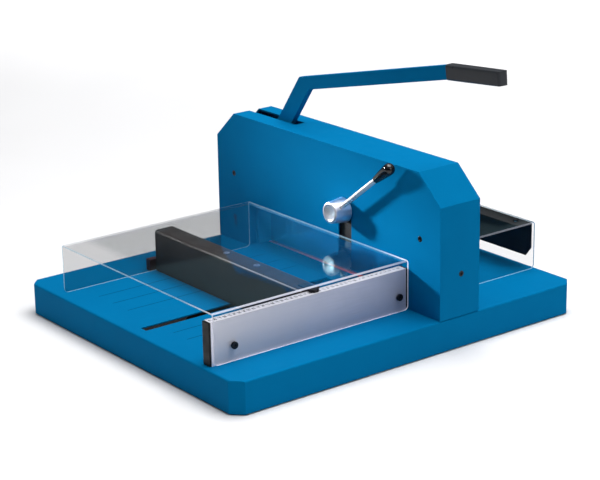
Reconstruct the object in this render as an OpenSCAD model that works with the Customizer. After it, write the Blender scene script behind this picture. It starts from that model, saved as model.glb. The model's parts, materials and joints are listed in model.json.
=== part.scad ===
// Lever-driven stack paper cutter: table, portal housing, geared knife, rack clamp, stops and clear covers.
// Millimetres, +Z up. Origin: centre of the underside. The cut runs along X, the paper moves along Y.

/* [Table] */
// Length of the table along the cut
table_w = 665; // [620:1:760]
// Depth of the table
table_d = 782; // [740:1:860]
// Height of the table's surface above the floor
table_z = 61; // [50:1:80]
// Chamfer on the table's upright corners
corner_cut = 20; // [8:1:30]
// Bend radius along the table's upper edges
table_bend = 4; // [2:0.5:6]
// Sheet thickness of the table
table_sheet = 3; // [2:0.5:4]
// Thickness of the plate that closes the table below
floor_t = 3; // [2:0.5:5]
// Thickness of the anti-slip mat
mat_t = 2; // [1:0.5:4]
// Inset of the mat from the table's outline
mat_inset = 4; // [2:1:12]

/* [Housing] */
// Distance of the housing's front face behind the table's centre
housing_y = 54; // [40:1:70]
// Depth of the housing
housing_d = 93; // [90:1:110]
// Height of the housing's top above the floor
housing_top = 323; // [318:1:350]
// Height of the housing's shoulders above the floor
shoulder_z = 270; // [262:1:285]
// Width of the sloping shoulders
shoulder_w = 58; // [50:1:70]
// Wall of the housing
wall = 3; // [2:0.5:4]
// Distance of the cutting window from the housing's ends
window_side = 101.5; // [98:0.5:105]
// Height of the window above the table
window_h = 85; // [80:1:92]
// Thickness of the side frames beside the window
frame_t = 14; // [12:1:18]
// Height of the side frames above the table
frame_h = 238; // [230:1:245]
// Depth of the guide grooves in the side frames
groove = 7; // [5:0.5:9]
// Radius of the housing's screw heads
shell_screw_r = 5.5; // [4:0.5:7]
// Distance of the housing's screws from its ends
shell_screw_in = 54; // [52:1:58]
// Height of the upper screws above the table
shell_screw_high = 140; // [138:1:146]
// Height of the lower left screws above the table
shell_screw_low = 50; // [46:1:54]
// Distance of the end screw behind the housing's front face
end_screw_in = 50; // [46:1:56]
// Height of the end screw above the table
end_screw_h = 79; // [74:1:84]
// Thickness of the lugs and brackets inside the housing
lug_t = 12; // [10:0.5:13]
// Height of the lugs round their screws
lug_h = 40; // [30:1:44]

/* [Cutting lever] */
// Distance of the lever's pivot from the housing's left end
pivot_in = 51.5; // [48:0.5:54]
// Height of the pivot above the table
pivot_h = 104; // [102:1:107]
// Radius of the pivot shaft
pivot_r = 13; // [10:0.5:16]
// Radius of the lever's eye round the pivot
eye_r = 32; // [26:1:36]
// Thickness of the lever
lever_t = 12; // [10:1:16]
// Length of the leg from the pivot to the bend
leg_len = 299; // [290:0.5:320]
// Angle of the leg above the table
leg_angle = 54; // [51:0.5:56]
// Width of the leg
leg_w = 36; // [30:1:40]
// Length of the arm from the bend to the grip
arm_len = 415; // [380:1:460]
// Angle of the arm above the table
arm_angle = 12.7; // [10:0.1:16]
// Width of the arm
arm_w = 26; // [22:1:30]
// Length of the grip
grip_len = 131; // [110:1:160]
// Angle of the grip above the table
grip_angle = 4.8; // [0:0.1:9]
// Width of the grip at its end
grip_tip = 25; // [24:0.5:28]
// Wall of the grip over the lever's tang
grip_wall = 5; // [3:0.5:6]
// Corner radius of the grip
grip_round = 5; // [2:0.5:6]
// Distance of the lever behind the housing's front face
lever_in = 44; // [42:0.5:46]
// Room for the lever on each side of its slot
slot_room = 5.5; // [4:0.5:7]
// Length of the slot from the housing's left end
slot_len = 206; // [204:1:225]
// Distance of the slot's start from the housing's left end
slot_start = 12; // [10:1:16]
// Height of the pivot brackets above the table
bracket_h = 156; // [154:1:165]
// Wall of the spacers on the pivot shaft
spacer_t = 6; // [4:0.5:8]
// Standout of the grip over the arm
grip_over = 1; // [0.5:0.5:2]
// Solid length of the grip beyond the lever's tang
grip_end = 12; // [8:1:18]
// Room for the lever in the left side frame
fork_room = 1; // [0.5:0.5:2]

/* [Knife] */
// Distance of the knife behind the housing's front face
knife_in = 52; // [50:0.5:53]
// Thickness of the knife
knife_t = 5; // [4:0.5:6]
// Height of the knife
knife_h = 70; // [60:1:75]
// Depth of the knife's bevel
bevel_h = 12; // [8:1:16]
// Thickness of the knife carrier
carrier_t = 7; // [6:0.5:7.5]
// Height of the knife carrier
carrier_h = 88; // [80:1:92]
// Distance of the carrier's lower edge above the cutting edge
carrier_up = 34; // [30:1:45]
// Teeth of a full circle of the lever's sector
sector_teeth = 50; // [46:1:52]
// Thickness of the lever's sector
sector_t = 8; // [7:0.5:9]
// Module of the sector's teeth
sector_module = 4; // [3.9:0.05:4.1]
// Width of the cutting stick
stick_w = 16; // [14:0.5:18]
// Depth of the cutting stick in the bed
stick_d = 6; // [4:0.5:8]
// Depth of the bed bar along Y
bed_d = 60; // [50:1:66]
// Number of knife screws
knife_screws = 6; // [4:1:8]
// Distance of the first knife screw from the window's left side
knife_screw_left = 90; // [85:1:100]
// Distance of the last knife screw from the window's right side
knife_screw_right = 40; // [30:1:60]
// Height of the knife screws above the carrier's lower edge
knife_screw_up = 18; // [14:1:22]
// Thickness of the knife in front of its screws
knife_skin = 1.5; // [1:0.5:2]
// Gap between the knife's ends and the side frames
knife_side = 2; // [1:0.5:4]
// Gap between the knife carrier and the lever's sector
sector_gap = 2.5; // [2.5:0.5:3]
// Width of the racks behind their teeth
rack_w = 16; // [12:1:18]

/* [Clamp] */
// Distance of the clamp's hub to the right of the centre
hub_x = 69.5; // [50:0.5:90]
// Height of the hub above the table
hub_h = 146; // [142:1:150]
// Radius of the hub at its front
hub_r = 20; // [18:0.5:22]
// Radius of the hub at the housing
hub_back_r = 24; // [22:0.5:26]
// Length of the hub in front of the housing
hub_len = 37; // [32:1:45]
// Radius of the clamp's shaft
clamp_shaft_r = 10; // [8:0.5:12]
// Width of the upright slot under the hub
hub_slot_w = 37; // [32:1:40]
// Distance of the rod's axis in front of the housing
rod_out = 21; // [18:1:26]
// Angle of the rod above the table
rod_angle = 37; // [30:1:45]
// Length of the rod from the hub's axis
rod_len = 150; // [140:1:170]
// Radius of the rod
rod_r = 5; // [4:0.5:6]
// Distance of the ball's centre from the hub's axis
ball_at = 187; // [180:1:200]
// Radius of the ball end
ball_r = 11; // [9:0.5:13]
// Teeth of the clamp's pinion
pinion_teeth = 22; // [20:2:24]
// Module of the pinion's teeth
pinion_module = 3; // [2.8:0.05:3.2]
// Thickness of the clamp's pinion and rack
gear_t = 14; // [12:1:16]
// Thickness of the clamp beam's web
beam_t = 15; // [12:0.5:16]
// Height of the clamp beam's foot
beam_foot = 12; // [10:1:14]
// Height of the clamp beam
beam_h = 36; // [30:1:38]
// Opening under the clamp beam at rest
beam_open = 82; // [82:0.5:84]
// Gap between the housing's front wall and the clamp beam
beam_gap = 3; // [2.5:0.5:4]
// Gap between the clamp beam and the knife
knife_gap = 2; // [1.5:0.5:3]
// Chamfer on the hub's edges
hub_edge = 1.5; // [1:0.5:3]
// Depth of the bearing plate below the hub's axis
bearing_down = 24; // [22:1:28]
// Height of the bearing plate above the hub's axis
bearing_up = 30; // [24:1:36]
// Distance of the rod's seat from the hub's axis
rod_seat = 8; // [6:0.5:11]
// Length of the tapered part of the ball end
knob_len = 44; // [40:1:60]
// Radius of the tapered part at the rod
knob_r = 7; // [6.5:0.5:8]

/* [Stops] */
// Distance of the stop bar's front face in front of the centre
bar_front = 172; // [150:1:200]
// Depth of the stop bar
bar_d = 44; // [36:1:52]
// Height of the stop bar
bar_h = 81; // [70:1:84]
// Sheet thickness of the stop bar
bar_sheet = 5; // [3:0.5:6]
// Bend radius of the stop bar's upper edges
bar_bend = 6; // [5:0.5:9]
// Distance of the table's slot to the right of the centre
slot_x = 24; // [10:1:40]
// Width of the table's slot
slot_w = 18; // [14:0.5:24]
// Distance of the slot's front end in front of the centre
slot_front = 366; // [350:1:372]
// Distance of the bar's screws from the slot
bar_screw_x = 46; // [35:1:48]
// Thickness of the side stop
gauge_t = 19.5; // [17:0.5:22]
// Height of the side stop
gauge_h = 77; // [74:1:82]
// Wall of the side stop's profile
gauge_wall = 3; // [2:0.5:4]
// Length of the side stop's end caps
cap_len = 4; // [3:0.5:8]
// Thickness of the scale strip
scale_t = 0.8; // [0.5:0.1:1.5]
// Standout of the side stop in front of the guard
gauge_out = 3; // [1:1:8]
// Gap between the stop bar and the side stop
bar_gap = 1; // [0.5:0.5:2]
// Gap between the stop bar and the guard's left wall
bar_room = 2.5; // [1:0.5:5]
// Gap between the end of the table's slot and the housing
slot_gap = 2; // [1:0.5:6]
// Width of the rail under the slot
rail_w = 56; // [50:1:64]
// Height of the rail
rail_h = 16; // [14:1:20]
// Wall of the rail below and in front
rail_wall = 3; // [2:0.5:4]
// Width of the stop bar's foot in the rail
foot_w = 40; // [34:1:44]
// Height of the foot
foot_h = 8; // [6:0.5:10]
// Width of the carriage beyond its screws
carriage_over = 12; // [8:1:16]
// Depth of the bar's screws in the carriage
bar_screw_d = 20; // [15:1:25]
// Length of the pointer's base on the stop bar
pointer_len = 24; // [16:1:32]
// Width of the pointer
pointer_w = 18; // [14:1:22]
// Width of the pointer's blunt tip
pointer_tip = 9; // [6:1:12]
// Thickness of the pointer
pointer_t = 2; // [1.5:0.5:3]
// Reach of the pointer over the side stop
pointer_reach = 16; // [12:0.5:17]
// Width of the block beside the guard
block_w = 14; // [10:1:18]
// Depth of the block beside the guard
block_d = 20; // [16:1:26]
// Height of the block beside the guard
block_h = 22; // [16:1:28]

/* [Clear covers] */
// Thickness of the clear sheet
clear_t = 3; // [2:0.5:4]
// Bend radius of the clear sheet
clear_bend = 5; // [4.5:0.5:8]
// Corner radius of the clear side panels
clear_corner = 8; // [4:0.5:14]
// Height of the hinged cover above the table
cover_h = 91.5; // [90:0.5:96]
// Height of the front guard above the table
guard_h = 93; // [90:0.5:96]
// Distance of the front guard's open end in front of the centre
guard_front = 373; // [360:1:380]
// Distance of the front guard's left wall outside the window
guard_left_out = 0.5; // [0:0.5:6]
// Distance of the front guard's right wall outside the window
guard_right_out = 18; // [12:0.5:22]
// Depth of the hinged cover
cover_d = 236; // [200:1:239]
// Distance of the hinged cover's walls outside the window
cover_out = 0; // [0:0.5:6]
// Height of the stop plate at the cover's far end
plate_h = 68; // [50:1:80]
// Thickness of the stop plate
plate_t = 2; // [1.5:0.5:3]
// Width of the stop plate's folded lip
lip_w = 35; // [25:1:45]
// Distance of the hinges from the centre
hinge_x = 150; // [100:1:190]
// Width of a hinge knuckle
knuckle_w = 24; // [18:1:34]
// Radius of the hinge pins
hinge_pin_r = 4; // [3:0.5:5]
// Radius of the hinge knuckles
knuckle_r = 8; // [7:0.5:9]
// Width of the hinge lugs
hinge_lug_w = 8; // [6:0.5:12]
// Thickness of the hinge leaves on the housing
leaf_t = 1.2; // [1:0.1:1.4]
// Gap between the knuckles and the housing
knuckle_gap = 1.5; // [1.5:0.5:3]
// Gap between the knuckles and the cover's top
knuckle_up = 1; // [0.5:0.5:2]
// Thickness of the hinge straps on the cover
strap_t = 3; // [2:0.5:4]
// Length of the hinge straps
strap_len = 46; // [36:1:60]
// Gap between the hinged cover and the housing
cover_gap = 2; // [1.5:0.5:4]
// Gap between the front guard and the housing
guard_gap = 1; // [0.5:0.5:2]
// Height of the guard's screws above the table
guard_screw_up = 29; // [25:1:33]
// Distance of the first guard screw from the guard's open end
guard_screw_front = 41; // [35:1:50]
// Distance of the second guard screw from the guard's other end
guard_screw_back = 22; // [18:1:30]
// Radius of the guard's screw heads
guard_head_r = 6.5; // [5:0.5:8]
// Height of the guard's screw heads
guard_head_h = 4; // [3:0.5:6]
// Width of the stop plate's cut lower corners
corner_w = 14; // [10:1:20]
// Height of the stop plate's cut lower corners
corner_h = 18; // [12:1:24]
// Distance of the cover's screws from its sides
cover_screw_in = 34; // [25:1:45]
// Gap between the stop plate and the cover's sides
plate_room = 5; // [2:0.5:7]

/* [Fits] */
// Running clearance of shafts, on the radius
run_fit = 0.05; // [0.02:0.01:0.1]
// Clearance of flat sliding faces
slide_fit = 0.3; // [0.2:0.05:0.5]
// Backlash of the teeth
backlash = 0.5; // [0.3:0.05:0.7]
// Clearance of screws in their holes, on the radius
screw_fit = 0.1; // [0.05:0.05:0.2]
// Radius of the screws' shanks
screw_r = 3; // [2.5:0.25:3.5]
// Height of the low screw heads
head_h = 2; // [1.5:0.5:2.5]

/* [Hidden] */
$fn = 64;
eps = 0.5;
pressure = 20;
steps = 5;
// Height and depth of the teeth in modules
addendum = 0.9;
dedendum = 1.25;
// Part of a screw head's height that its socket takes
socket_part = 0.6;
// Part of the ball's radius that the tapered part reaches
knob_taper = 0.97;

housing_back = housing_y + housing_d;
inner_y = housing_y + wall;
inner_back = housing_back - wall;
half_w = table_w / 2;
half_win = half_w - window_side;
window_w = 2 * half_win;
window_z = table_z + window_h;

// Layers inside the housing, from the front wall backwards
beam_y = inner_y + beam_gap;
knife_y = housing_y + knife_in;
carrier_y = knife_y + knife_t;
rack_y = carrier_y + carrier_t;
sector_y = rack_y + sector_gap;
sector_back = sector_y + sector_t;
lever_y = housing_y + lever_in;
lever_back = lever_y + lever_t;

pivot_x = -half_w + pivot_in;
pivot_z = table_z + pivot_h;
sector_r = sector_teeth * sector_module / 2;
knife_rack_x = pivot_x + sector_r;
knife_z = table_z + slide_fit;
carrier_z = knife_z + carrier_up;
// First and last tooth of the sector, and of its rack, from the pivot's height
sector_low = -7;
sector_high = 1;
// Lower end of the gap that lets the sector through the left frame
fork_angle = (sector_low - 1) * 360 / sector_teeth;
fork_z = pivot_z + (sector_r + sector_module) * sin(fork_angle);
// Lower end of the gap that lets the leg through it, below the leg's edge at the frame's outer face
leg_off = -half_win - frame_t - pivot_x;
leg_up = leg_off * tan(leg_angle) - leg_w / 2 / cos(leg_angle);
leg_z = pivot_z + leg_up - 2 * fork_room;

hub_z = table_z + hub_h;
pinion_r = pinion_teeth * pinion_module / 2;
clamp_rack_x = hub_x - pinion_r;
beam_z = table_z + beam_open;
// First and last tooth of the clamp's rack from the hub's height
clamp_low = -3;
clamp_high = 9;
clamp_gear_y = [beam_y + beam_t, beam_y + beam_t + gear_t];

guard_left = half_win + guard_left_out;
guard_right = half_win + guard_right_out;
bar_y = -bar_front;
bar_z = table_z + slide_fit;
bar_top = bar_z + bar_h;
gauge_x = guard_right - clear_t - gauge_t;
gauge_front = -guard_front - gauge_out;
gauge_back = housing_y - cap_len;
gauge_top = table_z + gauge_h;
bar_mid = bar_y + bar_d / 2;
bar_left = -guard_left + clear_t + bar_room;
bar_right = gauge_x - bar_gap;
guard_back = housing_y - guard_gap;
guard_z = table_z + slide_fit;
guard_screw_z = table_z + guard_screw_up;
guard_screw_y = [-guard_front + guard_screw_front, guard_back - guard_screw_back];

cover_w = window_w + 2 * cover_out;
cover_y = housing_back + cover_gap;
cover_back = cover_y + cover_d;
cover_z = table_z + slide_fit;
cover_top = cover_z + cover_h;
hinge_y = housing_back + knuckle_r + knuckle_gap;
hinge_z = cover_top + knuckle_r + knuckle_up;
shell_screw_x = half_w - shell_screw_in;
shell_screws = [
    [-shell_screw_x, table_z + shell_screw_high],
    [-shell_screw_x, table_z + shell_screw_low],
    [shell_screw_x, table_z + shell_screw_high]
];
end_screw_y = housing_y + end_screw_in;
end_screw_z = table_z + end_screw_h;

// Bed and cutting stick under the knife's edge
bed_y = beam_y;
stick_y = knife_y + (knife_t - stick_w) / 2;
// Rail of the stop bar under the table
rail_top = table_z - table_sheet;
slot_end = housing_y - slot_gap;
// Screw places and lengths that follow from the sizes above
tang_len = grip_len - grip_end;
knife_bolt_first = -half_win + knife_screw_left;
knife_bolt_span = window_w - knife_screw_left - knife_screw_right;
knife_bolt_x = [for (i = [0:knife_screws - 1]) knife_bolt_first + i * knife_bolt_span / (knife_screws - 1)];
knife_bolt_z = carrier_z + knife_screw_up;
bar_screws = [slot_x - bar_screw_x, slot_x + bar_screw_x];
cover_screw_x = cover_w / 2 - cover_screw_in;
cover_screw_y = cover_back - lip_w / 2;

blue = "#0b69a8";
dark = "#26282b";
steel = "#b9bec4";
clear = [0.85, 0.9, 0.95, 0.35];

// A solid between two opposite corners
module block(low, high) {
    translate(low) cube(high - low);
}

// An outline in X and Z, extruded from y1 to y2
module along_y(y1, y2) {
    translate([0, y2, 0]) rotate([90, 0, 0]) linear_extrude(y2 - y1) children();
}

// An outline in Y and Z, extruded from x1 to x2
module along_x(x1, x2) {
    translate([x1, 0, 0]) rotate([90, 0, 90]) linear_extrude(x2 - x1) children();
}

// A round bar along Y
module bar_along_y(x, z, r, y1, y2) {
    translate([x, y1, z]) rotate([-90, 0, 0]) cylinder(r = r, h = y2 - y1);
}

// A round bar along X
module bar_along_x(y, z, r, x1, x2) {
    translate([x1, y, z]) rotate([0, 90, 0]) cylinder(r = r, h = x2 - x1);
}

// An upright outline with two rounded upper corners, standing on its axis
module round_top(w, h, r) {
    translate([-w / 2, 0]) square([w, h - r]);
    translate([-w / 2 + r, 0]) square([w - 2 * r, h]);
    for (side = [-1, 1]) translate([side * (w / 2 - r), h - r]) circle(r);
}

// A rectangle with four rounded corners, on its centre
module round_rect(w, h, r) {
    square([w, h - 2 * r], center = true);
    square([w - 2 * r, h], center = true);
    for (x = [-1, 1], y = [-1, 1]) translate([x * (w / 2 - r), y * (h / 2 - r)]) circle(r);
}

// The table's outline with chamfered corners, drawn in by an inset
module table_outline(inset) {
    x = half_w - inset;
    y = table_d / 2 - inset;
    c = corner_cut - inset * (2 - sqrt(2));
    intersection() {
        square([2 * x, 2 * y], center = true);
        rotate(45) square(sqrt(2) * (x + y - c), center = true);
    }
}

// A clear sheet folded to a tunnel, open at both ends, with rounded lower corners on its side panels
module hood(w, d, h) {
    difference() {
        along_y(0, d) difference() {
            round_top(w, h, clear_bend);
            translate([0, -eps]) round_top(w - 2 * clear_t, h - clear_t + eps, clear_bend - clear_t);
        }
        along_x(-w, w) for (end = [0, 1]) translate([end * d, 0]) mirror([end, 0]) difference() {
            translate([-eps, -eps]) square(clear_corner + eps);
            translate([clear_corner, clear_corner]) circle(clear_corner);
        }
    }
}

// Involute function in degrees
function involute(angle) = tan(angle) * 180 / PI - angle;

// Half the angle of a tooth at radius r, on a gear of pitch radius pr with n teeth
function tooth_half(pr, n, r) =
    let (local = acos(min(1, pr * cos(pressure) / r)))
    90 / n - backlash / 4 / pr * 180 / PI + involute(pressure) - involute(local);

function polar(r, angle) = [r * cos(angle), r * sin(angle)];

// Outline points of one tooth centred on an angle
function tooth(pr, m, n, angle) =
    let (root = pr - dedendum * m, low = max(root, pr * cos(pressure)), tip = pr + addendum * m)
    let (radii = [for (i = [0:steps]) low + (tip - low) * i / steps])
    concat(
        [polar(root, angle - tooth_half(pr, n, low))],
        [for (r = radii) polar(r, angle - tooth_half(pr, n, r))],
        [for (i = [steps:-1:0]) polar(radii[i], angle + tooth_half(pr, n, radii[i]))],
        [polar(root, angle + tooth_half(pr, n, low))]
    );

// Outline points of a rack's teeth along +Y, pointing to +X, with a gap centred on zero
function rack_teeth(m, first, last) =
    let (pitch = PI * m, half = pitch / 4 - backlash / 4)
    let (root = dedendum * m, tip = addendum * m, slope = tan(pressure))
    [for (k = [first:last]) let (mid = (k + 0.5) * pitch) each [
        [-root, mid - half - root * slope],
        [tip, mid - half + tip * slope],
        [tip, mid + half - tip * slope],
        [-root, mid + half + root * slope]
    ]];

// Corner of two bars that meet at a bend, offset from their centre lines by h1 and h2
function bend_corner(a1, a2, h1, h2) =
    let (det = sin(a2 - a1))
    [h1 * cos(a2) - h2 * cos(a1), h1 * sin(a2) - h2 * sin(a1)] / det;

module anti_slip_mat() {
    color("#1d1e20") linear_extrude(mat_t) table_outline(mat_inset);
}

module floor_plate() {
    color("#3c4147") translate([0, 0, mat_t]) linear_extrude(floor_t) table_outline(table_sheet);
}

module table() {
    h = table_z - mat_t;
    color(blue) difference() {
        translate([0, 0, mat_t]) intersection() {
            linear_extrude(h) table_outline(0);
            along_y(-table_d, table_d) round_top(table_w, h, table_bend);
            along_x(-table_w, table_w) round_top(table_d, h, table_bend);
        }
        translate([0, 0, mat_t - eps]) linear_extrude(h - table_sheet + eps) table_outline(table_sheet);
        block([-half_win, bed_y, 0], [half_win, bed_y + bed_d, table_z + eps]);
        block([slot_x - slot_w / 2, -slot_front, rail_top - eps],
            [slot_x + slot_w / 2, slot_end, table_z + eps]);
    }
}

module cutting_bed() {
    color(blue) difference() {
        block([-half_win, bed_y, mat_t + floor_t], [half_win, bed_y + bed_d, table_z]);
        block([-half_win - eps, stick_y, table_z - stick_d],
            [half_win + eps, stick_y + stick_w, table_z + eps]);
    }
}

module cutting_stick() {
    color("#c8202c") block([-half_win, stick_y, table_z - stick_d], [half_win, stick_y + stick_w, table_z]);
}

module gauge_rail() {
    low = rail_top - rail_h;
    color("#8d939a") difference() {
        block([slot_x - rail_w / 2, -slot_front - rail_wall, low], [slot_x + rail_w / 2, slot_end, rail_top]);
        block([slot_x - foot_w / 2 - slide_fit, -slot_front, low + rail_wall],
            [slot_x + foot_w / 2 + slide_fit, slot_end + eps, rail_top + eps]);
    }
}

module side_gauge() {
    cell = (gauge_h - 3 * gauge_wall) / 2;
    right = gauge_x + gauge_t;
    color("#b4b9c4") difference() {
        block([gauge_x, gauge_front, table_z], [gauge_x + gauge_t, gauge_back, gauge_top]);
        for (low = [table_z + gauge_wall, gauge_top - gauge_wall - cell])
            block([gauge_x + gauge_wall, gauge_front - eps, low],
                [right - gauge_wall, gauge_back + eps, low + cell]);
        for (y = guard_screw_y)
            bar_along_x(y, guard_screw_z, screw_r + screw_fit, right - gauge_wall - eps, right + eps);
    }
}

module gauge_end_caps() {
    color(dark) for (y = [gauge_front - cap_len, gauge_back])
        block([gauge_x, y, table_z], [gauge_x + gauge_t, y + cap_len, gauge_top + scale_t]);
}

module scale_strip() {
    color("#eceef0")
        block([gauge_x, gauge_front, gauge_top], [gauge_x + gauge_t, gauge_back, gauge_top + scale_t]);
}

module front_guard() {
    w = guard_left + guard_right;
    color(clear) difference() {
        translate([(guard_right - guard_left) / 2, -guard_front, guard_z])
            hood(w, guard_back + guard_front, guard_h);
        for (y = guard_screw_y)
            bar_along_x(y, guard_screw_z, screw_r + screw_fit, guard_right - 2 * clear_t, guard_right + eps);
    }
}

module guard_screws() {
    face = guard_right + guard_head_h;
    color(dark) for (y = guard_screw_y) {
        bar_along_x(y, guard_screw_z, screw_r, guard_right - clear_t - gauge_wall, guard_right);
        difference() {
            bar_along_x(y, guard_screw_z, guard_head_r, guard_right, face);
            bar_along_x(y, guard_screw_z, screw_r, face - guard_head_h * socket_part, face + eps, $fn = 6);
        }
    }
}

module guard_block() {
    color("#5a1f22") block([-guard_left - block_w, bar_y - block_d / 2, table_z],
        [-guard_left, bar_y + block_d / 2, table_z + block_h]);
}

// The housing's outline, drawn in by a wall on its ends, shoulders and top
module housing_outline(t, low) {
    rise = housing_top - shoulder_z;
    slant = norm([shoulder_w, rise]);
    side_z = shoulder_z + (t * rise - t * slant) / shoulder_w;
    top_x = half_w - shoulder_w + (t * shoulder_w - t * slant) / rise;
    x = half_w - t;
    top = housing_top - t;
    polygon([[-x, low], [x, low], [x, side_z], [top_x, top], [-top_x, top], [-x, side_z]]);
}

module housing() {
    color(blue) difference() {
        along_y(housing_y, housing_back) housing_outline(0, table_z);
        along_y(inner_y, inner_back) housing_outline(wall, table_z - eps);
        block([-half_win, housing_y - eps, table_z - eps], [half_win, housing_back + eps, window_z]);
        block([hub_x - hub_slot_w / 2, housing_y - eps, window_z - eps],
            [hub_x + hub_slot_w / 2, inner_y + eps, hub_z]);
        bar_along_y(hub_x, hub_z, hub_slot_w / 2, housing_y - eps, inner_y + eps);
        block([-half_w + slot_start, lever_y - slot_room, shoulder_z + wall],
            [-half_w + slot_len, lever_back + slot_room, housing_top + eps]);
        for (p = shell_screws, y = [housing_y, inner_back])
            bar_along_y(p[0], p[1], shell_screw_r + screw_fit, y - eps, y + wall + eps);
        bar_along_x(end_screw_y, end_screw_z, shell_screw_r + screw_fit, half_w - wall - eps, half_w + eps);
    }
}

module side_frame() {
    difference() {
        block([half_win, inner_y, table_z], [half_win + frame_t, inner_back, table_z + frame_h]);
        block([half_win - eps, beam_y - slide_fit, table_z - eps],
            [half_win + groove, beam_y + beam_t + slide_fit, table_z + frame_h + eps]);
        block([half_win - eps, carrier_y - slide_fit, table_z - eps],
            [half_win + groove, rack_y + slide_fit, table_z + frame_h + eps]);
    }
}

module left_side_frame() {
    color(blue) difference() {
        mirror([1, 0, 0]) side_frame();
        block([-half_win - frame_t - eps, sector_y - fork_room, fork_z],
            [-half_win + eps, sector_back + fork_room, table_z + frame_h + eps]);
        block([-half_win - frame_t - eps, lever_y - fork_room, leg_z],
            [-half_win + eps, sector_back + fork_room, table_z + frame_h + eps]);
    }
}

module right_side_frame() {
    end_x = half_w - wall;
    low = end_screw_z - lug_h / 2;
    lugs = [inner_y, inner_back - lug_t];
    screw = shell_screws[2];
    color(blue) difference() {
        union() {
            side_frame();
            for (y = lugs)
                block([half_win + frame_t, y, low], [end_x, y + lug_t, screw[1] + lug_h / 2]);
            block([end_x - lug_t, inner_y, low], [end_x, inner_back, low + lug_h]);
        }
        for (y = lugs)
            bar_along_y(screw[0], screw[1], screw_r + screw_fit, y - eps, y + lug_t + eps);
        bar_along_x(end_screw_y, end_screw_z, screw_r + screw_fit, end_x - lug_t - eps, end_x + eps);
    }
}

module housing_screws() {
    depth = wall + lug_t;
    color("#141a22") {
        for (p = shell_screws) {
            socket_screw_y(p[0], p[1], housing_y, 1, depth);
            socket_screw_y(p[0], p[1], housing_back, -1, depth);
        }
        translate([half_w, end_screw_y, end_screw_z]) rotate([0, -90, 0]) socket_screw(depth);
    }
}

// A flush screw along Y, with its head at y and its shank towards dir
module socket_screw_y(x, z, y, dir, depth) {
    translate([x, y, z]) rotate([-90 * dir, 0, 0]) socket_screw(depth);
}

// A flush screw along +Z from its head's face, with a hexagon socket
module socket_screw(depth) {
    difference() {
        union() {
            cylinder(r = shell_screw_r, h = wall);
            cylinder(r = screw_r, h = depth);
        }
        translate([0, 0, -eps]) cylinder(r = screw_r, h = eps + wall * socket_part, $fn = 6);
    }
}

module pivot_brackets() {
    color("#7b8188") for (y = [inner_y, inner_back - lug_t]) difference() {
        block([-half_w + wall, y, table_z], [-half_win - frame_t, y + lug_t, table_z + bracket_h]);
        bar_along_y(pivot_x, pivot_z, pivot_r, y - eps, y + lug_t + eps);
        for (screw = [shell_screws[0], shell_screws[1]])
            bar_along_y(screw[0], screw[1], screw_r + screw_fit, y - eps, y + lug_t + eps);
    }
}

module pivot_shaft() {
    color(steel) bar_along_y(pivot_x, pivot_z, pivot_r - run_fit, inner_y, inner_back);
}

module pivot_spacers() {
    front = [inner_y + lug_t, lever_y - slide_fit];
    rear = [sector_back + slide_fit, inner_back - lug_t];
    color("#9a8a4a") for (span = [front, rear]) difference() {
        bar_along_y(pivot_x, pivot_z, pivot_r + spacer_t, span[0], span[1]);
        bar_along_y(pivot_x, pivot_z, pivot_r, span[0] - eps, span[1] + eps);
    }
}

module clamp_bearing() {
    color("#2d3238") difference() {
        union() {
            block([hub_x - hub_slot_w, inner_y, hub_z - bearing_down],
                [hub_x + hub_slot_w, beam_y - slide_fit, hub_z + bearing_up]);
            bar_along_y(hub_x, hub_z, hub_slot_w / 2 - slide_fit, housing_y + slide_fit, inner_y + eps);
        }
        bar_along_y(hub_x, hub_z, clamp_shaft_r, housing_y - eps, beam_y);
    }
}

// Leg, arm and tang of the lever, in X and Z from the pivot
module lever_bars() {
    bend = polar(leg_len, leg_angle);
    end = bend + polar(arm_len, arm_angle);
    half = arm_w / 2;
    tang = half - grip_wall;
    tip = end + polar(tang_len, grip_angle);
    across = polar(tang, grip_angle + 90);
    polygon([
        polar(leg_w / 2, leg_angle + 90),
        bend + bend_corner(leg_angle, arm_angle, leg_w / 2, half),
        end + bend_corner(arm_angle, grip_angle, half, half),
        end + bend_corner(arm_angle, grip_angle, tang, tang),
        tip + across,
        tip - across,
        end + bend_corner(arm_angle, grip_angle, -tang, -tang),
        end + bend_corner(arm_angle, grip_angle, -half, -half),
        bend + bend_corner(leg_angle, arm_angle, -leg_w / 2, -half),
        polar(leg_w / 2, leg_angle - 90)
    ]);
}

// Toothed sector of the lever, in X and Z from the pivot
module lever_sector() {
    step = 360 / sector_teeth;
    teeth = [for (k = [sector_low:sector_high]) each tooth(sector_r, sector_module, sector_teeth, k * step)];
    polygon(concat([[0, 0]], teeth));
}

module cutting_lever() {
    color(blue) translate([pivot_x, 0, pivot_z]) difference() {
        union() {
            along_y(lever_y, lever_back) lever_bars();
            along_y(sector_y, sector_back) lever_sector();
            bar_along_y(0, 0, eye_r, lever_y, sector_back);
        }
        bar_along_y(0, 0, pivot_r, lever_y - eps, sector_back + eps);
    }
}

module lever_grip() {
    end = [pivot_x, pivot_z] + polar(leg_len, leg_angle) + polar(arm_len, arm_angle);
    half = arm_w / 2 + grip_over;
    tang = arm_w / 2 - grip_wall + screw_fit;
    wide = lever_t + 2 * grip_wall;
    mid_y = lever_y + lever_t / 2;
    color("#2b2d31") translate([end[0], mid_y, end[1]]) rotate([0, -grip_angle, 0]) difference() {
        intersection() {
            along_x(-arm_w, grip_len) round_rect(wide, 2 * half, grip_round);
            along_y(-wide, wide) rotate(-grip_angle) grip_side(half);
            translate([0, 0, -half]) linear_extrude(2 * half) translate([grip_len / 2 - arm_w, 0])
                round_rect(grip_len + 2 * arm_w, wide, grip_round);
        }
        block([-arm_w, -lever_t / 2 - screw_fit, -tang],
            [tang_len + screw_fit, lever_t / 2 + screw_fit, tang]);
    }
}

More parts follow.
